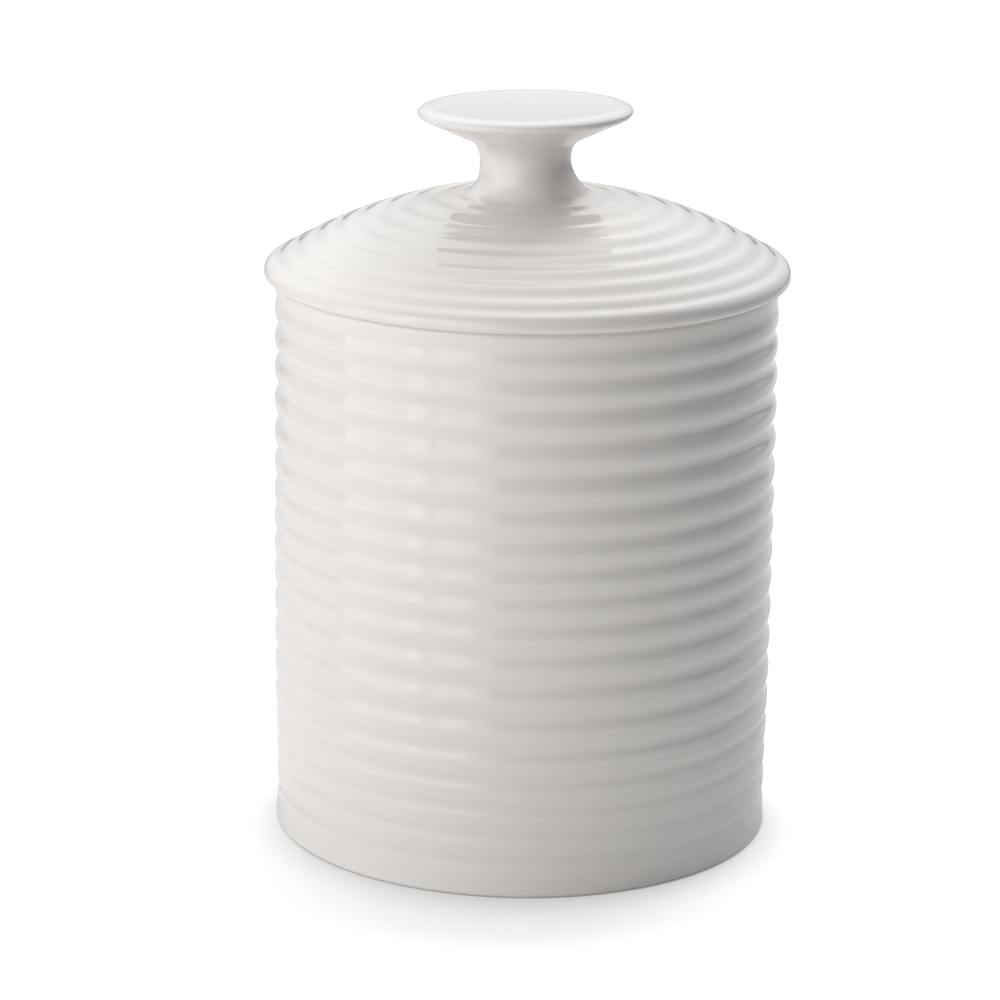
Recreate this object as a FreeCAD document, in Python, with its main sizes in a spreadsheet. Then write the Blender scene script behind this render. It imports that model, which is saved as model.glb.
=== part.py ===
import FreeCAD, Part
import os
import re

import Sketcher

# A ribbed, glazed jar with a domed lid, in millimetres.
#
#   jar   straight pot: ribs turned round its wall, a flat rim, an unglazed foot ring
#   lid   ribbed dome fired in one with its mushroom knob; a collar under it enters the jar
#
# The frame is +Z up with the origin at the centre of the foot ring, on the surface the jar
# stands on. The lid is drawn from the plane where it rests on the rim.
#
# Every piece is an outline turned once round the axis. Each rib is two flanks that meet on its
# ridge, and each round is a few chords, so that the solids stay light.

SIZES = {
    # Jar
    "jar_radius": 60.9,         # out to the ridges of the ribs
    "jar_height": 136.8,        # foot to rim
    "jar_wall": 4.9,            # ridge to bore
    "jar_floor": 5.5,           # under the contents
    "floor_round": 8.0,         # inside corner between floor and bore
    "rim_bevel": 1.0,           # both edges of the rim
    "foot_width": 6.0,          # unglazed ring that the jar stands on
    "foot_depth": 1.8,          # recess inside that ring
    "foot_bevel": 0.7,          # outer edge of the foot ring
    # Ribs round the jar, counted from the top; their pitch swings a little, as on turned ware
    "rib_count": 16,
    "rib_cycle": 8.0,           # ribs from one wide one to the next
    "rib_phase": 2.7,           # rib at which the pitch is widest
    "rib_swing": 0.93,          # how far a groove strays from an even spacing
    "rib_swell": 0.2,           # share by which wide ribs stand out more than narrow ones
    "groove_depth_top": 0.88,
    "groove_depth_foot": 0.45,
    "rim_band": 11.45,          # rim down to the first groove
    "foot_band": 8.5,           # plain band between the last groove and the foot
    # Lid
    "lip_overhang": 2.6,        # lip past the ridges of the jar
    "lip_round": 1.5,           # underside of the lip
    "lip_crown": 2.9,           # top of the lip, which ends in the first groove of the dome
    "dome_rise": 21.9,          # rim plane to where the dome would peak
    "lid_wall": 5.0,
    "dome_ribs": 8,
    "dome_spread": 0.166,       # how much the ribs widen towards the knob
    "dome_eye": 14.1,           # radius of the innermost groove, under the neck's foot
    "dome_groove_depth": 0.65,
    # Collar under the lid
    "collar_gap": 1.5,          # bore of the jar to the collar
    "collar_depth": 10.0,       # below the rim plane
    "collar_wall": 5.0,
    # Knob
    "neck_radius": 11.0,
    "neck_straight": 1.1,
    "neck_flare": 9.8,          # round between neck and dome
    "flare_slope": 40.0,        # degrees at which the flare meets the dome
    "neck_fillet": 4.9,         # round between neck and knob
    "knob_radius": 25.6,
    "knob_slope": 25.1,         # degrees, underside of the knob
    "knob_edge": 1.3,           # round under the knob's widest point
    "knob_brow_width": 4.0,     # flatter round over it, which runs in this far
    "knob_brow_rise": 1.4,      # and rises this much
    "knob_dish": 1.0,           # hollow of the knob's top
}

NEAR = 0.01                     # how closely an edge is told by its radius and height


def bound(formula):
    """Put the sheet's name in front of each alias in a formula."""
    return re.sub(r"[a-z_]+", lambda word: f"Sizes.{word[0]}" if word[0] in SIZES else word[0], formula)


def amount(formula):
    """What a formula of the sheet comes to now."""
    return float(sizes.evalExpression(bound(formula)))


def outline(body, name, corners):
    """Draw a closed outline of straight edges on the body's XZ plane.

    Each corner gives its distance from the axis and its height, as formulas of the sheet.
    """
    sketch = body.newObject("Sketcher::SketchObject", name)
    plane = next(flat for flat in body.Origin.OriginFeatures if flat.Role == "XZ_Plane")
    sketch.AttachmentSupport = [(plane, "")]
    sketch.MapMode = "FlatFace"
    spots = [FreeCAD.Vector(amount(across), amount(up), 0) for across, up in corners]
    ends = spots[1:] + spots[:1]
    sketch.addGeometry([Part.LineSegment(start, end) for start, end in zip(spots, ends)], False)

    rules, formulas = [], {}
    for number, (corner, spot) in enumerate(zip(corners, spots)):
        before = (number or len(corners)) - 1
        rules.append(Sketcher.Constraint("Coincident", before, 2, number, 1))
        ways = (("DistanceX", -2, spot.x, corner[0]), ("DistanceY", -1, spot.y, corner[1]))
        for kind, axis, size, formula in ways:
            if formula == "0":
                rules.append(Sketcher.Constraint("PointOnObject", number, 1, axis))
            else:
                formulas[len(rules)] = formula
                rules.append(Sketcher.Constraint(kind, -1, 1, number, 1, size))
    sketch.addConstraint(rules)
    for number, formula in formulas.items():
        sketch.setExpression(f"Constraints[{number}]", bound(formula))
    return sketch


def turned(body, kind, name, corners):
    """Turn an outline once round the axis: a Revolution adds it, a Groove cuts it."""
    sketch = outline(body, f"{name}_outline", corners)
    feature = body.newObject(f"PartDesign::{kind}", name)
    feature.Profile = sketch
    feature.ReferenceAxis = (sketch, ["V_Axis"])
    feature.Angle = 360
    doc.recompute()


def bevelled(body, name, size, *rings):
    """Chamfer the circular edges at the given distances from the axis and heights."""
    base = body.Tip
    names = []
    for across, up in rings:
        for number, edge in enumerate(base.Shape.Edges, 1):
            if edge.Degenerated or not isinstance(edge.Curve, Part.Circle):
                continue
            off = FreeCAD.Vector(edge.Curve.Radius - amount(across), 0, edge.Curve.Center.z - amount(up))
            if off.Length < NEAR:
                names.append(f"Edge{number}")
    if len(names) != len(rings):
        raise RuntimeError(f"{name}: {len(names)} edges found for {len(rings)} rings")
    chamfer = body.newObject("PartDesign::Chamfer", name)
    chamfer.Base = (base, names)
    chamfer.setExpression("Size", bound(size))
    doc.recompute()


def round_corners(centre, radius, first, last, chords):
    """Corners along an arc, in even steps from one angle to another, both ends included."""
    corners = []
    for number in range(chords + 1):
        angle = f"({first} + (({last}) - ({first})) * {number} / {chords})"
        corners.append((f"({centre[0]} + {radius} * cos{angle})", f"({centre[1]} + {radius} * sin{angle})"))
    return corners


# ---------------------------------------------------------------------------------------------
# Jar

BORE = "(jar_radius - jar_wall)"


def jar_height_at(number):
    """Height of a groove, or of a ridge when the number ends in a half.

    The grooves step down evenly from the rim band to the foot band, less a sine that makes
    their pitch swing.
    """
    step = "(jar_height - rim_band - foot_band) / rib_count"
    swing = f"(sin(360 * ({number} - rib_phase) / rib_cycle) + sin(360 * rib_phase / rib_cycle))"
    return f"(jar_height - rim_band - {number} * {step} - rib_swing * {swing})"


def jar_groove(number):
    """Corner at the bottom of a groove; depth fades towards the foot and follows the swing."""
    fade = f"(groove_depth_top + (groove_depth_foot - groove_depth_top) * {number} / rib_count)"
    swell = f"(1 + rib_swell * cos(360 * ({number} - rib_phase) / rib_cycle))"
    return f"(jar_radius - {fade} * {swell})", jar_height_at(number)


def make_jar():
    body = doc.addObject("PartDesign::Body", "jar")
    count = SIZES["rib_count"]
    foot, _ = jar_groove(count)
    corners = [("0", "0"), (foot, "0"), jar_groove(count)]
    for number in reversed(range(count)):
        corners.append(("jar_radius", jar_height_at(number + 0.5)))
        corners.append(jar_groove(number))
    corners.append(("jar_radius", jar_height_at(-0.5)))
    corners.append(("jar_radius", "jar_height"))
    corners.append(("0", "jar_height"))
    turned(body, "Revolution", "pot", corners)

    corner = (f"({BORE} - floor_round)", "(jar_floor + floor_round)")
    corners = [("0", "jar_floor")]
    corners += round_corners(corner, "floor_round", "(0 - 90)", "0", 1)
    corners += [(BORE, "jar_height"), ("0", "jar_height")]
    turned(body, "Groove", "bore", corners)
    foot_bore = f"({foot} - foot_width)"
    corners = [("0", "0"), (foot_bore, "0"), (foot_bore, "foot_depth"), ("0", "foot_depth")]
    turned(body, "Groove", "recess", corners)

    bevelled(body, "rim_edges", "rim_bevel", (BORE, "jar_height"), ("jar_radius", "jar_height"))
    bevelled(body, "foot_edge", "foot_bevel", (foot, "0"))
    return body


# ---------------------------------------------------------------------------------------------
# Lid, drawn from the rim plane

COLLAR = f"({BORE} - collar_gap)"
COLLAR_BORE = f"({COLLAR} - collar_wall)"
LIP = "(jar_radius + lip_overhang)"
SHOULDER = f"({LIP} - lip_crown)"

# The ridges of the dome lie on a ball that passes just over the lip's crown and peaks at
# dome_rise: its radius is (a^2 + b^2) / 2b for half a chord a and a rise b over that chord.
BALL_RISE = "(dome_rise - lip_round - lip_crown - dome_groove_depth / 2)"
BALL = f"(({SHOULDER}^2 + {BALL_RISE}^2) / (2 * {BALL_RISE}))"
BALL_CENTRE = f"(dome_rise - {BALL})"


def on_ball(across, radius=BALL):
    """Height over the rim plane of a ball round the dome's centre."""
    return f"({BALL_CENTRE} + sqrt({radius}^2 - {across}^2))"


def dome_corner(number):
    """Corner in a groove of the dome, or on a ridge when the number ends in a half.

    The ribs step in from the shoulder to the eye under the neck, and a cubic makes them wider
    towards it. A groove is sunk along the ball's radius.
    """
    share = f"({number} / dome_ribs)"
    step = f"({share} + dome_spread * ({share}^3 - {share}))"
    across = f"({SHOULDER} - ({SHOULDER} - dome_eye) * {step})"
    if number % 1:
        return across, on_ball(across)
    sunk = f"(1 - dome_groove_depth / {BALL})"
    return f"({across} * {sunk})", f"({BALL_CENTRE} + {sunk} * sqrt({BALL}^2 - {across}^2))"


def make_lid():
    body = doc.addObject("PartDesign::Body", "lid")
    body.setExpression(".Placement.Base.z", bound("jar_height"))

    # Underside: hollow of the dome, then the collar and the flat that rests on the rim.
    inside = f"({BALL} - lid_wall)"
    middle = f"({COLLAR_BORE} / 2)"
    corners = [("0", on_ball(middle, inside)), (middle, on_ball(middle, inside))]
    corners.append((COLLAR_BORE, on_ball(COLLAR_BORE, inside)))
    corners += [(COLLAR_BORE, "(0 - collar_depth)"), (COLLAR, "(0 - collar_depth)"), (COLLAR, "0")]

    # Lip and ribs.
    corners += round_corners((f"({LIP} - lip_round)", "lip_round"), "lip_round", "(0 - 90)", "0", 1)
    corners += round_corners((SHOULDER, "lip_round"), "lip_crown", "0", "90", 2)[1:]
    for number in range(SIZES["dome_ribs"]):
        corners.append(dome_corner(number + 0.5))
        corners.append(dome_corner(number + 1))
    corners.pop()

    # Neck: a flare that stands in the innermost groove, half way down it, a short waist, a
    # fillet into the knob.
    foot = "(neck_radius + neck_flare * (1 - sin(flare_slope)))"
    waist = f"({on_ball(foot)} - dome_groove_depth / 2 + neck_flare * cos(flare_slope))"
    flare = ("(neck_radius + neck_flare)", waist)
    corners += round_corners(flare, "neck_flare", "(270 - flare_slope)", "180", 2)
    fillet = ("(neck_radius + neck_fillet)", f"({waist} + neck_straight)")
    corners += round_corners(fillet, "neck_fillet", "180", "(90 + knob_slope)", 2)

    # Knob: a shallow cone underneath, a round edge, a flatter brow over it, and a top that
    # slopes in to a flat middle.
    edge_radius = "(knob_radius - knob_edge)"
    cone_run = f"({edge_radius} + knob_edge * sin(knob_slope) - {corners[-1][0]})"
    edge = f"({corners[-1][1]} + {cone_run} * tan(knob_slope) + knob_edge * cos(knob_slope))"
    corners += round_corners((edge_radius, edge), "knob_edge", "(knob_slope - 90)", "0", 1)
    top_radius = "(knob_radius - knob_brow_width)"
    corners.append((f"({top_radius} + knob_brow_width * cos(45))", f"({edge} + knob_brow_rise * sin(45))"))
    corners.append((top_radius, f"({edge} + knob_brow_rise)"))
    dish = f"({edge} + knob_brow_rise - knob_dish)"
    corners += [(f"({top_radius} / 2)", dish), ("0", dish)]
    turned(body, "Revolution", "dome_and_knob", corners)
    return body


doc = FreeCAD.newDocument("ribbed_jar")
sizes = doc.addObject("Spreadsheet::Sheet", "Sizes")
for row, (alias, size) in enumerate(SIZES.items(), 1):
    sizes.set(f"A{row}", alias)
    sizes.set(f"B{row}", str(size))
    sizes.setAlias(f"B{row}", alias)
doc.recompute()

pieces = [make_jar(), make_lid()]
doc.recompute()

for item in doc.Objects:
    if "Invalid" in item.State or "Error" in item.State:
        raise RuntimeError(f"{item.Label} did not compute: {item.State}")
for piece in pieces:
    if piece.Shape.isNull() or not piece.Shape.isValid() or len(piece.Shape.Solids) != 1:
        raise RuntimeError(f"{piece.Label} is not one valid solid")

os.makedirs("parts", exist_ok=True)
for piece in pieces:
    piece.Shape.exportStep(f"parts/{piece.Label}.step")
    print(f"{piece.Label}: {piece.Shape.Volume / 1000:.1f} cm3, top {piece.Shape.BoundBox.ZMax:.2f} mm")
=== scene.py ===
"""Looks of a ribbed porcelain jar with a domed lid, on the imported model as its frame."""
import math

import bpy
import numpy as np
from mathutils import Matrix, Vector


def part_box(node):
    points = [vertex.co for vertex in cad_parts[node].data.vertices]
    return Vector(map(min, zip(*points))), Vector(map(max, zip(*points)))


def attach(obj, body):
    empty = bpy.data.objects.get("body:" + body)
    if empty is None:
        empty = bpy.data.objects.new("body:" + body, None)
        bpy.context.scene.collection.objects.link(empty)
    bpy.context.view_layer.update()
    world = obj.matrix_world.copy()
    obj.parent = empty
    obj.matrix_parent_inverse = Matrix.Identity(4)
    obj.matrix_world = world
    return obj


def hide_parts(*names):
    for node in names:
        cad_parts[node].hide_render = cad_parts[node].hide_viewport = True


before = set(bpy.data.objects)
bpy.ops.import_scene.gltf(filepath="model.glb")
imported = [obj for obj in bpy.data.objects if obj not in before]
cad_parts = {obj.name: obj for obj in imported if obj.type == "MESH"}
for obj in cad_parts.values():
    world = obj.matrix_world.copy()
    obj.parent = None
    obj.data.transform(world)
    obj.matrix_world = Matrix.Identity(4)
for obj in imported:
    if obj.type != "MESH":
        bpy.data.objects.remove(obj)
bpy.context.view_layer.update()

MM = 0.001

# ---------------------------------------------------------------------------------------------
# The jar's sizes in millimetres: the model's, but for its grooves and its small rounds

JAR_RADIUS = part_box("jar")[1][0] / MM
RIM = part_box("jar")[1][2] / MM
JAR_WALL = 4.9                  # ridge to bore
JAR_FLOOR = 5.5
FLOOR_ROUND = 8.0               # inside corner between floor and bore
RIM_ROUND = 1.4                 # both edges of the rim
FOOT_WIDTH = 6.0                # the ring that the jar stands on
FOOT_DEPTH = 1.8                # recess inside that ring
FOOT_ROUND = 1.0                # outer edge of the ring
RING_ROUND = 0.6                # inner edge of the ring
RECESS_ROUND = 0.8              # corner of the recess

# The jar's ribs. Grooves are numbered downwards from 0; number -1 lies under the rim.
RIB_COUNT = 16
RIB_CYCLE = 8.0                 # ribs from one wide one to the next
RIB_PHASE = 2.7                 # rib at which the pitch is widest
RIB_SWING = 0.93                # how far a groove strays from an even spacing
RIB_SWELL = 0.2                 # share by which wide ribs stand out more than narrow ones
RIM_BAND = 11.45                # rim down to groove 0
FOOT_BAND = 8.5                 # plain band between the last groove and the foot
WALL_END = -1.42                # where the wall runs into the rim's round, as a groove's number
GROOVE_DEPTH_TOP = 0.92
GROOVE_DEPTH_FOOT = 0.40
RIM_GROOVE_DEPTH = 0.35
GROOVE_POWER = 2.4              # power of the cosine: a higher one makes a narrower groove
NARROW_FROM = 9                 # groove at which they start to get narrower
NARROW_OVER = 6                 # and over how many more the power doubles

# Small irregularities of the wall.
BELLY = 0.3                     # the wall bows out by this much from its ends to half height
BELLY_TRIM = 0.3                # share of the belly taken off all over, to keep the mean radius
FOOT_TUCK = 0.35                # the wall draws in by this much towards the foot
TUCK_HEIGHT = 25.0              # half of it at this height
TUCK_SPAN = 3.0

# ---------------------------------------------------------------------------------------------
# The lid's sizes in millimetres: the model's, but for the dome's grooves and the knob's width and top

BORE = JAR_RADIUS - JAR_WALL
COLLAR_PLAY = 1.5
COLLAR_WALL = 5.0
COLLAR = BORE - COLLAR_PLAY
COLLAR_BORE = COLLAR - COLLAR_WALL
COLLAR_DEPTH = 10.0
COLLAR_ROUND = 1.5
SEAT_ROUND = 0.8                # corner between the collar and the seat under the lip
HOLLOW_ROUND = 4.0              # corner between the collar and the hollow under the dome
HOLLOW_END = 6.0                # how far from the collar the hollow's arc gives way to it
LID_WALL = 5.0

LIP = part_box("lid")[1][0] / MM
LIP_ROUND = 1.5
LIP_CROWN = 2.9
CROWN_TURN = 60                 # degrees of the crown's arc up to the ribbed dome
SHOULDER = LIP - LIP_CROWN

DOME_RISE = 21.9                # rim to where the dome would peak
DOME_RIBS = 8
DOME_SPREAD = 0.166             # how much wider the ribs get towards the neck
DOME_EYE = 14.1                 # radius of the innermost groove, under the neck's foot
DOME_GROOVE = 0.35
MODEL_GROOVE = 0.65             # the model's deeper groove, half of which its ball is set down by
CROWN_BLEND = 0.8               # height over which the ribs and the lip's crown run together
NECK_BLEND = 0.9                # and the ribs and the neck's flare
BALL_RISE = DOME_RISE - LIP_ROUND - LIP_CROWN - MODEL_GROOVE / 2
BALL = (SHOULDER ** 2 + BALL_RISE ** 2) / (2 * BALL_RISE)
BALL_CENTRE = DOME_RISE - BALL

NECK = 11.0
NECK_STRAIGHT = 1.1
NECK_FILLET = 4.9               # round between neck and knob
FLARE = 9.8                     # round between neck and dome
FLARE_SLOPE = math.radians(40)
FLARE_CUT = 52                  # degrees round the flare where its arc takes over from the dome
KNOB = 25.8
KNOB_SLOPE = math.radians(25.1)
KNOB_EDGE = 1.3                 # round under the knob's widest point
BROW_WIDTH = 4.0                # the flatter round over it runs in this far
BROW_RISE = 1.4                 # and rises this much
KNOB_DISH = 0.45                # hollow of its top

# Small irregularities of the lid.
DOME_SETTLE = 0.3               # the dome sank this much round the neck in the kiln
SETTLE_EDGE = 24.0              # it starts to sink at this radius
SETTLE_WIDTH = 8.0              # and has sunk in full this much further in
DOME_LEAN = math.radians(-0.35)  # the dome sank a little to one side
KNOB_LEAN = math.radians(-0.7)  # the knob leans over it, as it was stuck on by hand
KNOB_SHIFT = -0.9               # and stands a little off the axis

# ---------------------------------------------------------------------------------------------
# Faces

TURNS = 256                     # faces round each piece
RIB_STEPS = 12                  # rows of faces to a rib
BEND_STEPS = 6                  # and to a small rounded corner
ARC_STEPS = 8                   # and to an arc
WIDE_STEPS = 10                 # and to a wide one
HOLLOW_STEPS = 15               # to the hollow under the dome
BROW_STEPS = 12                 # to the knob's brow
TOP_STEPS = 23                  # and from there to the middle of its top
RULER_MARKS = 400               # marks that a dome groove's number is read off


# ---------------------------------------------------------------------------------------------
# Outlines: rows of (distance from the axis, height), anticlockwise round the material

def arc(centre, radius, start, end, steps=ARC_STEPS):
    """Points on a circle in even steps of angle, in degrees: centre plus radius times (cos, sin)."""
    angle = np.radians(np.linspace(start, end, steps + 1))
    return np.column_stack([centre[0] + radius * np.cos(angle), centre[1] + radius * np.sin(angle)])


def bend(before, corner, after, radius, steps=BEND_STEPS):
    """A corner rounded by the circle that touches both of its sides.

    The circle's centre lies on the line that halves the corner, and its touching points lie
    radius / tan(half the corner) along each side.
    """
    before, corner, after = (np.array(point, float) for point in (before, corner, after))
    back = (before - corner) / np.linalg.norm(before - corner)
    on = (after - corner) / np.linalg.norm(after - corner)
    half = math.acos(np.clip(back @ on, -1, 1)) / 2
    middle = (back + on) / np.linalg.norm(back + on)
    centre = corner + middle * radius / math.sin(half)
    first, last = corner + back * radius / math.tan(half), corner + on * radius / math.tan(half)
    start = math.atan2(*(first - centre)[::-1])
    turn = (math.atan2(*(last - centre)[::-1]) - start + math.pi) % (2 * math.pi) - math.pi
    return arc(centre, radius, math.degrees(start), math.degrees(start + turn), steps)


def smooth_max(one, other, blend):
    """The larger of two, joined by a parabola where they come within the blend of each other."""
    near = np.clip(1 - np.abs(one - other) / blend, 0, None)
    return np.maximum(one, other) + near ** 2 * blend / 4


def eased(share):
    """A share that starts and ends gently: three times its square less twice its cube."""
    share = np.clip(share, 0, 1)
    return share * share * (3 - 2 * share)


def jar_groove(number):
    """Depth of the jar's grooves as a share: a power of a cosine, 1 at whole numbers, 0 half way.

    The power doubles over the lowest grooves, which makes them narrower.
    """
    power = GROOVE_POWER * (1 + np.clip((number - NARROW_FROM) / NARROW_OVER, 0, 1))
    return np.abs(np.cos(np.pi * number)) ** power


def jar_height_at(number):
    """Height of a groove of the jar: an even step, less a sine that makes the pitch swing."""
    step = (RIM - RIM_BAND - FOOT_BAND) / RIB_COUNT
    turn = 2 * np.pi / RIB_CYCLE
    swing = np.sin(turn * (number - RIB_PHASE)) + np.sin(turn * RIB_PHASE)
    return RIM - RIM_BAND - number * step - RIB_SWING * swing


def jar_wall():
    """The ribbed wall from the foot to the rim, and each point's share of a groove's depth.

    The radius is the jar's, plus half a sine wave for the belly, less a soft step for the tuck
    at the foot, less the grooves, whose depth fades from rim to foot and swells with the pitch.
    """
    lowest = RIB_COUNT + 0.5    # half a rib below the last groove
    number = np.linspace(lowest, WALL_END, int((lowest - WALL_END) * RIB_STEPS))
    fade = GROOVE_DEPTH_TOP + (GROOVE_DEPTH_FOOT - GROOVE_DEPTH_TOP) * number / RIB_COUNT
    depth = fade * (1 + RIB_SWELL * np.cos(2 * np.pi * (number - RIB_PHASE) / RIB_CYCLE))
    depth = np.where(number < -0.5, RIM_GROOVE_DEPTH, depth)
    share = jar_groove(number)
    height = jar_height_at(number)
    belly = BELLY * (np.sin(np.pi * height / RIM) - BELLY_TRIM)
    tuck = FOOT_TUCK / (1 + np.exp((height - TUCK_HEIGHT) / TUCK_SPAN))
    return np.column_stack([JAR_RADIUS + belly - tuck - depth * share, height]), share


def ball_height(across, radius=BALL):
    """Height over the rim of the ball that the dome's ridges lie on.

    It is the height of the ball's centre plus the root of (radius squared less distance squared).
    """
    return BALL_CENTRE + np.sqrt(radius ** 2 - across ** 2)


FOOT_OF_NECK = NECK + FLARE * (1 - math.sin(FLARE_SLOPE))
WAIST = float(ball_height(FOOT_OF_NECK)) - MODEL_GROOVE / 2 + FLARE * math.cos(FLARE_SLOPE)


def rib_number(across):
    """Which groove of the dome lies at a distance from the axis, and in between as a fraction.

    Grooves step in from the shoulder to the eye by a cubic of their number, which is read
    backwards here.
    """
    number = np.linspace(-1, DOME_RIBS + 2, RULER_MARKS)
    share = number / DOME_RIBS
    step = share + DOME_SPREAD * (share ** 3 - share)
    return np.interp(-across, -(SHOULDER - (SHOULDER - DOME_EYE) * step), number)


def dome_top():
    """Top of the lid from the lip in to the neck, over the rim, and its share of groove depth.

    At each distance from the axis it is the highest of the lip's crown, the ribbed ball and
    the neck's flare, blended where they meet. The ribs are a cosine, sunk along the ball's
    radius, and past the outermost groove the ball falls away by a parabola.
    """
    outer = SHOULDER + LIP_CROWN * math.cos(math.radians(CROWN_TURN))
    inner = NECK + FLARE - FLARE * math.sin(math.radians(FLARE_CUT))
    across = np.linspace(outer, inner, RIB_STEPS * (DOME_RIBS + 3))
    crown = LIP_ROUND + np.sqrt(np.clip(LIP_CROWN ** 2 - (across - SHOULDER) ** 2, 0, None))
    number = rib_number(across)
    share = np.where(number < 0, (1 - 2 * number) ** 2, 0.5 + 0.5 * np.cos(2 * np.pi * number))
    ribs = ball_height(across) - DOME_GROOVE * share * BALL / np.sqrt(BALL ** 2 - across ** 2)
    ribs -= DOME_SETTLE * np.clip((SETTLE_EDGE - across) / SETTLE_WIDTH, 0, 1)
    flare = WAIST - np.sqrt(np.clip(FLARE ** 2 - (NECK + FLARE - across) ** 2, 0, None))
    flare = np.where(across > NECK + FLARE, WAIST - FLARE - (across - NECK - FLARE), flare)
    height = smooth_max(smooth_max(ribs, crown, CROWN_BLEND), flare, NECK_BLEND)
    return np.column_stack([across, height]), np.clip(share, 0, 1)


def knob(neck_end):
    """The knob above the neck's fillet: a straight cone, a round edge, a brow and a hollow top.

    The cone rises by the tangent of its slope and the edge's arc touches it. The brow is a
    quarter of an ellipse, and the top sinks towards its middle by a parabola.
    """
    edge_across = KNOB - KNOB_EDGE
    run = edge_across + KNOB_EDGE * math.sin(KNOB_SLOPE) - neck_end[0]
    edge_up = neck_end[1] + run * math.tan(KNOB_SLOPE) + KNOB_EDGE * math.cos(KNOB_SLOPE)
    edge = arc((edge_across, edge_up), KNOB_EDGE, math.degrees(KNOB_SLOPE) - 90, 0)
    top_radius, top_up = KNOB - BROW_WIDTH, edge_up + BROW_RISE
    turn = np.radians(np.linspace(0, 90, BROW_STEPS + 1))[1:]
    brow = np.column_stack([KNOB - BROW_WIDTH * (1 - np.cos(turn)), edge_up + BROW_RISE * np.sin(turn)])
    across = np.linspace(top_radius, 0, TOP_STEPS + 1)[1:]
    top = np.column_stack([across, top_up - KNOB_DISH * (1 - (across / top_radius) ** 2)])
    return np.vstack([edge, brow, top])


# ---------------------------------------------------------------------------------------------
# Pieces

BARE = np.linspace(0, 1, BEND_STEPS + 1)    # the glaze runs out over a rounded corner
GLAZED = BARE[::-1]                         # and starts again over one
FILLET_POOL_AND_SHADE = 0.4                           # how deep glaze lies in wide corners, darkened as pooled glaze and painted shade
CORNER_POOL_AND_SHADE = 0.6                           # and in tight ones


def joined(*stretches):
    """Join stretches of an outline, each with its share of darker glaze, as pooled glaze and painted
    shade, and its bare share, into one.
    """
    lines, pools_and_shades, bares = zip(*stretches)
    lines = [np.atleast_2d(line) for line in lines]

    def spread(shares):
        return np.concatenate([np.broadcast_to(share, len(line)) for share, line in zip(shares, lines)])

    return np.vstack(lines), spread(pools_and_shades), spread(bares)


def turned(name, outline, pool_and_shade, bare):
    """Turn an outline round Z into a closed mesh: x = r cos t, y = r sin t, z = height.

    The shares per point of the outline are kept as attributes for the glaze: how much it darkens,
    as pooled glaze and painted shade, and where the body is left unglazed. The outline's ends are
    on the axis and become one point each, with a fan of triangles.
    """
    inner = outline[1:-1]
    angle = np.linspace(0, 2 * np.pi, TURNS, endpoint=False)
    across, up = inner[:, :1], inner[:, 1:]
    rings = np.stack([across * np.cos(angle), across * np.sin(angle), up + 0 * angle], axis=-1)
    points = np.vstack([rings.reshape(-1, 3), [0, 0, outline[0, 1]], [0, 0, outline[-1, 1]]])

    row = np.arange(len(inner))[:, None] * TURNS
    spot = np.arange(TURNS)[None, :]
    here, there = row + spot, row + (spot + 1) % TURNS
    quads = np.stack([here[:-1], there[:-1], there[1:], here[1:]], axis=-1).reshape(-1, 4)
    first, last = len(points) - 2, len(points) - 1
    start = np.stack([np.full(TURNS, first), there[0], here[0]], axis=-1)
    end = np.stack([np.full(TURNS, last), here[-1], there[-1]], axis=-1)

    mesh = bpy.data.meshes.new(name)
    mesh.from_pydata((points * MM).tolist(), [], quads.tolist() + start.tolist() + end.tolist())
    mesh.shade_smooth()
    # Attributes for the glaze: its darkening in hollows, as pooled glaze and painted shade, and the bare
    # body.
    for label, share in (("pool_and_shade", pool_and_shade), ("bare", bare)):
        values = np.concatenate([np.repeat(share[1:-1], TURNS), share[:1], share[-1:]])
        mesh.attributes.new(label, "FLOAT", "POINT").data.foreach_set("value", values.astype(np.float32))
    piece = bpy.data.objects.new(name, mesh)
    bpy.context.collection.objects.link(piece)
    return piece


def jar():
    """The jar: its outline from the middle of the recess, round the foot ring, up the ribbed
    wall, over the rim and down the bore to the middle of the floor, turned round Z."""
    wall, share = jar_wall()
    foot_bore = JAR_RADIUS - FOOT_ROUND - FOOT_WIDTH
    foot, rim = (JAR_RADIUS, 0.0), (JAR_RADIUS, RIM)
    recess, bottom = (foot_bore, FOOT_DEPTH), (BORE, JAR_FLOOR)
    # Each stretch: its outline, its share of darker glaze as pooled glaze and painted shade, and its
    # bare share.
    outline, pool_and_shade, bare = joined(
        ((0, FOOT_DEPTH), 0, 0),
        (bend((0, FOOT_DEPTH), recess, (foot_bore, 0), RECESS_ROUND), CORNER_POOL_AND_SHADE, 0),
        (bend(recess, (foot_bore, 0), foot, RING_ROUND), 0, BARE),
        (bend((foot_bore, 0), foot, wall[0], FOOT_ROUND), 0, GLAZED),
        (wall, share, 0),
        (bend(wall[-1], rim, (BORE, RIM), RIM_ROUND), 0, 0),
        (bend(rim, (BORE, RIM), bottom, RIM_ROUND), 0, 0),
        (bend((BORE, RIM), bottom, (0, JAR_FLOOR), FLOOR_ROUND, WIDE_STEPS), FILLET_POOL_AND_SHADE, 0),
        ((0, JAR_FLOOR), 0, 0),
    )
    return turned("jar_shell", outline, pool_and_shade, bare)


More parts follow.
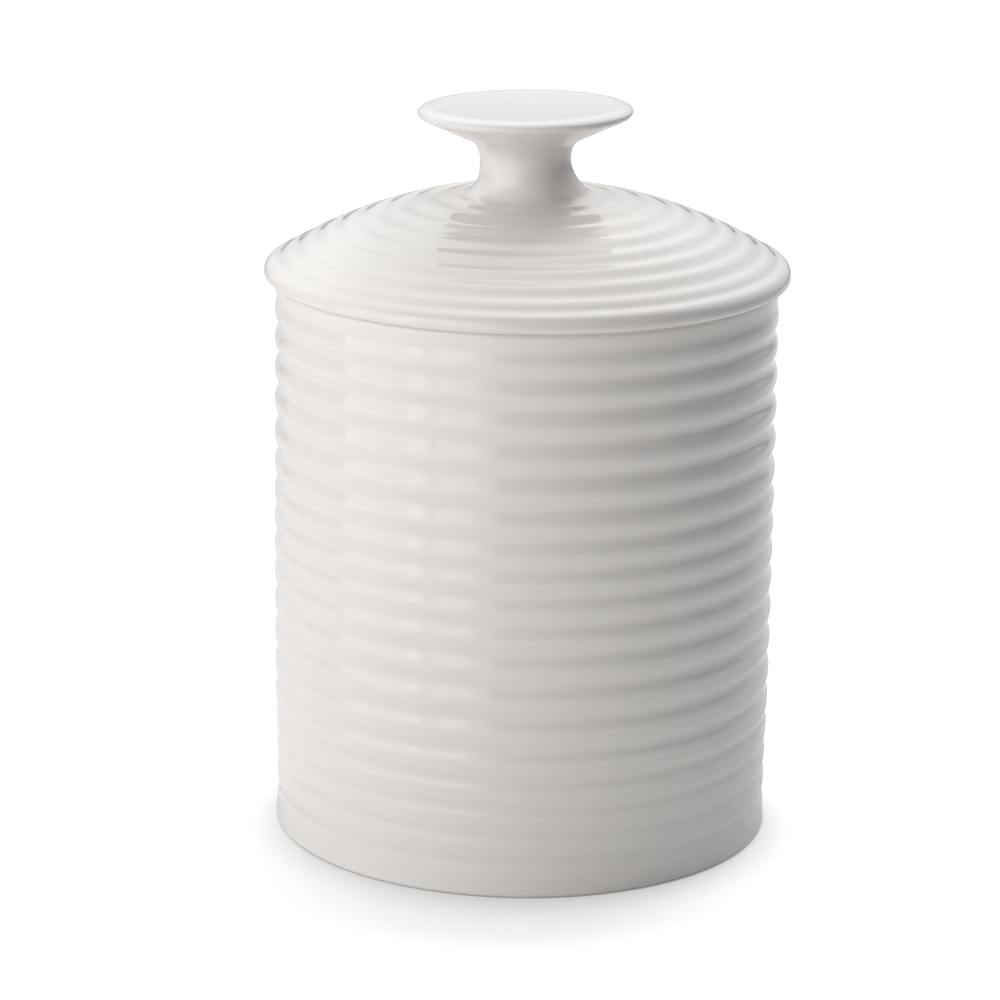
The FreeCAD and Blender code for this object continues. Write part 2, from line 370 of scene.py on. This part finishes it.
def lid():
    """The lid: its outline from the top of the hollow, down the collar and up again to the
    seat, round the lip, over the ribbed dome and up the neck to the knob, turned round Z.

    The hollow is the dome's ball less the wall, and the neck is an arc for the flare, a short
    straight and an arc for the fillet under the knob.
    """
    inside = BALL - LID_WALL
    across = np.linspace(0, COLLAR_BORE - HOLLOW_END, HOLLOW_STEPS + 1)
    hollow = np.column_stack([across, ball_height(across, inside)])
    corner = (COLLAR_BORE, ball_height(COLLAR_BORE, inside))
    low, low_out = (COLLAR_BORE, -COLLAR_DEPTH), (COLLAR, -COLLAR_DEPTH)
    seat = (COLLAR, 0.0)
    top, share = dome_top()
    flare = arc((NECK + FLARE, WAIST), FLARE, 270 - FLARE_CUT, 180)
    fillet = (NECK + NECK_FILLET, WAIST + NECK_STRAIGHT)
    neck_top = arc(fillet, NECK_FILLET, 180, 90 + math.degrees(KNOB_SLOPE), WIDE_STEPS)
    # As in the jar: darker glaze in the grooves and corners as pooled glaze and painted shade, and the
    # bare collar.
    outline, pool_and_shade, bare = joined(
        (hollow, 0, 0),
        (bend(hollow[-1], corner, low, HOLLOW_ROUND, ARC_STEPS), FILLET_POOL_AND_SHADE, 0),
        (bend(corner, low, low_out, COLLAR_ROUND), 0, BARE),
        (bend(low, low_out, seat, COLLAR_ROUND), 0, GLAZED),
        (bend(low_out, seat, (LIP, 0), SEAT_ROUND), CORNER_POOL_AND_SHADE, 0),
        (arc((LIP - LIP_ROUND, LIP_ROUND), LIP_ROUND, -90, 0), 0, 0),
        (arc((SHOULDER, LIP_ROUND), LIP_CROWN, 0, CROWN_TURN)[1:-1], 0, 0),
        (top, share, 0),
        (flare[1:], 0, 0),
        (neck_top, 0, 0),
        (knob(neck_top[-1]), 0, 0),
    )
    outline[:, 1] += RIM
    piece = turned("lid_shell", outline, pool_and_shade, bare)
    lean(piece.data)
    return piece


def lean(mesh):
    """Lean the dome over its lip, and the knob over the dome.

    A lean takes its angle times x from z, and above the dome it adds the angle times height to
    x. It grows from nothing at its foot to all of it a little above.
    """
    points = np.empty(len(mesh.vertices) * 3)
    mesh.vertices.foreach_get("co", points)
    points = points.reshape(-1, 3) / MM
    foot, waist = RIM + ball_height(FOOT_OF_NECK), RIM + WAIST
    knob_share = eased((points[:, 2] - foot) / (waist - foot))
    dome_share = eased((points[:, 2] - RIM) / (LIP_ROUND + LIP_CROWN))
    points[:, 2] -= dome_share * DOME_LEAN * points[:, 0]
    points[:, 2] -= knob_share * KNOB_LEAN * points[:, 0]
    points[:, 0] += knob_share * (KNOB_SHIFT + KNOB_LEAN * (points[:, 2] - waist))
    mesh.vertices.foreach_set("co", (points * MM).ravel())
    mesh.update()


# ---------------------------------------------------------------------------------------------
# Materials

class Wire:
    """A shader socket that takes arithmetic: an expression on it adds the Math nodes."""

    def __init__(self, shader, socket):
        self.shader = shader
        self.socket = socket

    def maths(self, operation, one, other):
        """Add one Math node."""
        return self.shader.node("ShaderNodeMath", {"operation": operation}, {0: one, 1: other})

    def __add__(self, other):
        return self.maths("ADD", self, other)

    def __sub__(self, other):
        return self.maths("SUBTRACT", self, other)

    def __rsub__(self, other):
        return self.maths("SUBTRACT", other, self)

    def __mul__(self, other):
        return self.maths("MULTIPLY", self, other)

    __radd__ = __add__
    __rmul__ = __mul__


class Shader:
    """The node tree of a material or the world, with one method that adds any node."""

    def __init__(self, owner):
        owner.use_nodes = True
        self.tree = owner.node_tree
        self.tree.nodes.clear()

    def node(self, kind, settings=None, inputs=None, output=0):
        """Add a node: its settings first, then the values or wires of its sockets."""
        node = self.tree.nodes.new(kind)
        for name, value in (settings or {}).items():
            setattr(node, name, value)
        for name, value in (inputs or {}).items():
            if isinstance(value, Wire):
                self.tree.links.new(value.socket, node.inputs[name])
            else:
                node.inputs[name].default_value = value
        return Wire(self, node.outputs[output]) if node.outputs else None


MIX_SHARE, MIX_ONE, MIX_OTHER, MIX_RESULT = 0, 6, 7, 2      # the Mix node's sockets for colours

GLAZE = (0.803, 0.775, 0.754, 1)
GLAZE_THIN = (0.828, 0.80, 0.778, 1)
# Darker glaze for the grooves and corners: partly pooled glaze, partly painted shade.
GLAZE_POOL_AND_SHADE = (0.745, 0.723, 0.70, 1)
BARE_BODY = (0.70, 0.655, 0.59, 1)
BARE_GRAIN = (0.78, 0.745, 0.69, 1)
POOL_AND_SHADE_STRENGTH = 0.12            # how far glaze in the hollows goes towards its darker colour: pooled glaze and painted shade
GRAIN_STRENGTH = 0.5            # and the bare body towards its grains' colour
CLOUD = (28.0, 3.0)             # patterns to a metre, and how many times finer ones are added
RIPPLE = (130.0, 2.0)
GRAIN = (2600.0, 4.0)
RIPPLE_HEIGHT = 0.00004         # metres
GRAIN_HEIGHT = 0.00006
GLAZE_ROUGHNESS = 0.04
CLOUD_ROUGHNESS = 0.02          # added where the cloud is full
BARE_ROUGHNESS = 0.62
GLAZE_IOR = 1.5


def mixed(shader, share, one, other):
    """A colour between two, by a share."""
    inputs = {MIX_SHARE: share, MIX_ONE: one, MIX_OTHER: other}
    return shader.node("ShaderNodeMix", {"data_type": "RGBA"}, inputs, MIX_RESULT)


def cloudy(shader, place, scale, detail):
    """A soft random pattern in space, from 0 to 1."""
    return shader.node("ShaderNodeTexNoise", None, {"Vector": place, "Scale": scale, "Detail": detail})


def porcelain(name):
    """Glossy white glaze in soft clouds, pooled glaze and painted shade in hollows, over a bare fired
    foot.
    """
    material = bpy.data.materials.new(name)
    shader = Shader(material)
    place = shader.node("ShaderNodeTexCoord", output="Object")
    pool_and_shade = shader.node("ShaderNodeAttribute", {"attribute_name": "pool_and_shade"}, output="Fac")
    bare = shader.node("ShaderNodeAttribute", {"attribute_name": "bare"}, output="Fac")
    cloud = cloudy(shader, place, *CLOUD)
    ripple = cloudy(shader, place, *RIPPLE)
    grain = cloudy(shader, place, *GRAIN)

    glaze = mixed(shader, cloud, GLAZE, GLAZE_THIN)
    # Painted shade and pooled glaze: the glaze darkens in the grooves and corners.
    glaze = mixed(shader, pool_and_shade * POOL_AND_SHADE_STRENGTH, glaze, GLAZE_POOL_AND_SHADE)
    body = mixed(shader, grain * GRAIN_STRENGTH, BARE_BODY, BARE_GRAIN)
    rough = GLAZE_ROUGHNESS + CLOUD_ROUGHNESS * cloud + bare * (BARE_ROUGHNESS - GLAZE_ROUGHNESS)
    height = ripple * (1 - bare) * RIPPLE_HEIGHT + grain * bare * GRAIN_HEIGHT
    bumps = shader.node("ShaderNodeBump", None, {"Strength": 1.0, "Distance": 1.0, "Height": height})
    surface = shader.node("ShaderNodeBsdfPrincipled", None, {
        "Base Color": mixed(shader, bare, glaze, body),
        "Roughness": rough,
        "IOR": GLAZE_IOR,
        "Normal": bumps,
    })
    shader.node("ShaderNodeOutputMaterial", None, {"Surface": surface})
    return material


# ---------------------------------------------------------------------------------------------
# Studio

CAMERA_BACK = 922.63            # millimetres in front of the jar's axis
CAMERA_UP = 339.72
CAMERA_YAW = math.radians(-0.368)
CAMERA_DOWN = math.radians(15.694)
CAMERA_ROLL = math.radians(0.745)
CAMERA_FOCUS = 3.911            # focal length as a share of the picture's width
SENSOR = 36.0

LAMP_AIM = 0.09                 # height in metres that every lamp is turned to

# The world brightens with the direction's Y, towards the back, and with its Z, upwards.
BACKDROP_EDGE = (-0.2, 0.8)     # the Y over which the backdrop gets to its full strength
BACKDROP_LIGHT = 0.72
SHEET_EDGE = (-0.3, 0.3)        # the Y, and below it the Z, over which the sheet does
SHEET_HEIGHT = (0.0, 0.75)
SHEET_LIGHT = 1.4

WHITE = (1, 1, 1, 1)
FLOOR_REACH = 6.0               # metres
FLOOR_PAPER = (0.86, 0.86, 0.86, 1)
FLOOR_IN_VIEW = (0.3, 0.3, 0.3, 1)  # the paper as the camera sees it, under its glow
SHADOW_SAMPLES = 16
CLOSE_REACH = 0.015             # metres round the jar in which a painted shadow darkens the floor's glow, as shade does in the crack under any foot
CLOSE_DARKNESS = 0.4            # in the crack under any foot
CAST_REACH = 0.05               # metres of painted soft shadow in front, away from the light behind
CAST_DARKNESS = 0.83
# warm tint of the painted shadow where it is deepest, near the foot
PAINTED_SHADOW_TINT = (1, 0.95, 0.92, 1)


def camera():
    """Camera in front of the jar, a little above its lid, turned by yaw, pitch and roll."""
    level = np.array([math.sin(CAMERA_YAW), math.cos(CAMERA_YAW), 0])
    right = np.array([math.cos(CAMERA_YAW), -math.sin(CAMERA_YAW), 0])
    ahead = math.cos(CAMERA_DOWN) * level - math.sin(CAMERA_DOWN) * np.array([0, 0, 1])
    up = np.cross(right, ahead)
    across = math.cos(CAMERA_ROLL) * right + math.sin(CAMERA_ROLL) * up
    over = math.cos(CAMERA_ROLL) * up - math.sin(CAMERA_ROLL) * right
    data = bpy.data.cameras.new("view")
    data.sensor_width = SENSOR
    data.lens = SENSOR * CAMERA_FOCUS
    seat = bpy.data.objects.new("view", data)
    turn = Matrix(np.column_stack([across, over, -ahead]).tolist()).to_4x4()
    seat.matrix_world = Matrix.Translation((0, -CAMERA_BACK * MM, CAMERA_UP * MM)) @ turn
    bpy.context.collection.objects.link(seat)
    bpy.context.scene.camera = seat


def lamp(name, turn, rise, distance, size, watts, mirrored=True):
    """A rectangular soft lamp aimed at the jar's upper half.

    turn is counted in degrees from the camera's side, to the right, and rise over the horizon.
    The distance and the two sides of its size are in metres. A lamp that isn't mirrored lights
    the glaze and shows no reflection in it.
    """
    data = bpy.data.lights.new(name, "AREA")
    data.shape = "RECTANGLE"
    data.size, data.size_y = size
    data.energy = watts
    seat = bpy.data.objects.new(name, data)
    seat.visible_glossy = mirrored
    turn, rise = math.radians(turn), math.radians(rise)
    back = np.array([math.sin(turn) * math.cos(rise), -math.cos(turn) * math.cos(rise), math.sin(rise)])
    side = np.cross((0, 0, 1), back)
    side /= np.linalg.norm(side)
    place = np.array([0, 0, LAMP_AIM]) + distance * back
    aim = Matrix(np.column_stack([side, np.cross(back, side), back]).tolist()).to_4x4()
    seat.matrix_world = Matrix.Translation(place.tolist()) @ aim
    bpy.context.collection.objects.link(seat)


def grading(shader, value, edge, top):
    """A smooth rise from nothing to the top strength, while the value crosses the edge."""
    inputs = {"Value": value, "From Min": edge[0], "From Max": edge[1], "To Min": 0.0, "To Max": top}
    return shader.node("ShaderNodeMapRange", {"interpolation_type": "SMOOTHSTEP"}, inputs)


def sky():
    """White to the camera and pale behind the jar, with a sheet of light above and behind it.

    The sheet is there in reflections alone.
    """
    world = bpy.data.worlds.new("studio")
    bpy.context.scene.world = world
    shader = Shader(world)
    in_view = shader.node("ShaderNodeLightPath", output="Is Camera Ray")
    in_gloss = shader.node("ShaderNodeLightPath", output="Is Glossy Ray")
    direction = shader.node("ShaderNodeTexCoord", output="Generated")
    ahead = shader.node("ShaderNodeSeparateXYZ", None, {"Vector": direction}, "Y")
    height = shader.node("ShaderNodeSeparateXYZ", None, {"Vector": direction}, "Z")
    backdrop = grading(shader, ahead, BACKDROP_EDGE, BACKDROP_LIGHT)
    sheet = grading(shader, ahead, SHEET_EDGE, 1.0) * grading(shader, height, SHEET_HEIGHT, SHEET_LIGHT)
    strength = backdrop + in_gloss * sheet + in_view
    light = shader.node("ShaderNodeBackground", None, {"Color": WHITE, "Strength": strength})
    shader.node("ShaderNodeOutputWorld", None, {"Surface": light})


def unblocked(shader, inputs):
    """Share of the directions round the normal that nothing blocks within the distance."""
    return shader.node("ShaderNodeAmbientOcclusion", {"samples": SHADOW_SAMPLES}, inputs, "AO")


def floor_paper():
    """Pale paper that glows white to the camera, less where a painted shadow darkens its glow.

    The painted shadow comes from ambient occlusion: a close one round the foot and a wide one in
    front, where the jar hides the light behind, warmer near the foot.
    """
    material = bpy.data.materials.new("floor")
    shader = Shader(material)
    in_view = shader.node("ShaderNodeLightPath", output="Is Camera Ray")
    behind = shader.node("ShaderNodeCombineXYZ", None, {"X": 0.0, "Y": 1.0, "Z": 0.0})
    # Painted shadow: ambient occlusion darkens the camera's glow, close round the foot and wide in
    # front.
    close = unblocked(shader, {"Distance": CLOSE_REACH})
    painted_shadow_ao = unblocked(shader, {"Distance": CAST_REACH, "Normal": behind})
    painted_crack_darkening = shader.node("ShaderNodeMath", {"operation": "POWER"}, {0: close, 1: CLOSE_DARKNESS})
    glow = in_view * painted_crack_darkening * (1 - CAST_DARKNESS * (1 - painted_shadow_ao))
    painted_shadow_tint = mixed(shader, painted_shadow_ao, PAINTED_SHADOW_TINT, WHITE)
    glow_colour = shader.node("ShaderNodeVectorMath", {"operation": "SCALE"}, {0: painted_shadow_tint, "Scale": glow})
    paper = mixed(shader, in_view, FLOOR_PAPER, FLOOR_IN_VIEW)
    cloth = shader.node("ShaderNodeBsdfDiffuse", None, {"Color": paper})
    light = shader.node("ShaderNodeEmission", None, {"Color": glow_colour, "Strength": 1.0})
    both = shader.node("ShaderNodeAddShader", None, {0: cloth, 1: light})
    shader.node("ShaderNodeOutputMaterial", None, {"Surface": both})
    return material


def floor():
    """A flat square of paper in the plane of the foot."""
    mesh = bpy.data.meshes.new("floor")
    corners = [(-1, -1, 0), (1, -1, 0), (1, 1, 0), (-1, 1, 0)]
    mesh.from_pydata((np.array(corners) * FLOOR_REACH).tolist(), [], [(0, 1, 2, 3)])
    mesh.materials.append(floor_paper())
    paper = bpy.data.objects.new("floor", mesh)
    bpy.context.collection.objects.link(paper)


def lamps():
    """A wide key and two fronts at the left, mirrored in the glaze, and three that aren't: one
    over the fronts, one above the lid and one behind at the right."""
    lamp("key", -66, 17, 1.1, (0.85, 0.9), 4.35)
    lamp("front", -37, 16, 1.1, (0.6, 0.9), 1.9)
    lamp("front_near", -26, 16, 1.1, (0.5, 0.9), 1.7)
    lamp("top_left", -42, 50, 1.3, (1.0, 1.0), 2.0, mirrored=False)
    lamp("top", 180, 85, 1.4, (1.2, 1.2), 4.7, mirrored=False)
    lamp("back", 148, 46, 1.4, (0.5, 0.5), 8.4, mirrored=False)


def main():
    """Build the studio, then dress each node of the model in its own piece."""
    camera()
    sky()
    floor()
    lamps()
    for make, node in ((jar, "jar"), (lid, "lid")):
        piece = make()
        piece.data.materials.append(porcelain(f"{node}_porcelain"))
        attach(piece, node)
        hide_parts(node)


main()
bpy.context.scene.view_settings.view_transform = "Standard"
